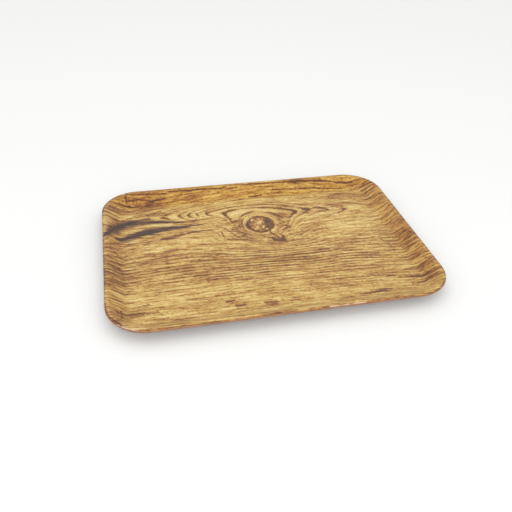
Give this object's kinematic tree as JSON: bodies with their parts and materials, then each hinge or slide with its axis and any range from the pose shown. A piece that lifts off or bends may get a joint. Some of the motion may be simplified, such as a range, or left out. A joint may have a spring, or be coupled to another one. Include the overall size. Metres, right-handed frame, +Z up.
{
  "type": "serving tray",
  "caption": "Rectangular form-pressed wood-laminate serving tray with rounded corners, gently sloping walls, a short level lip and a printed wood-grain face.",
  "frame": {"origin": "centre of the flat underside, on the surface the tray rests on", "axes": "+X along the tray's length, +Y across its width, +Z up out of the well"},
  "size_m": [0.45, 0.32, 0.019],
  "materials": {
    "melamine_overlay": "clear melamine film, satin-gloss",
    "wood_print": "printed wood-grain laminate, satin",
    "veneer_long_grain": "rotary-cut birch veneer along the tray, edge sealed with clear lacquer",
    "veneer_cross_grain": "rotary-cut birch veneer across the tray, edge sealed with clear lacquer",
    "backing_laminate": "plain brown melamine laminate, matt"
  },
  "bodies": {
    "root": {"clear_overlay": "melamine_overlay", "printed_sheet": "wood_print", "face_veneer": "veneer_long_grain", "upper_cross_veneer": "veneer_cross_grain", "core_veneer": "veneer_long_grain", "lower_cross_veneer": "veneer_cross_grain", "back_veneer": "veneer_long_grain", "backing_sheet": "backing_laminate"}
  },
  "joints": []
}
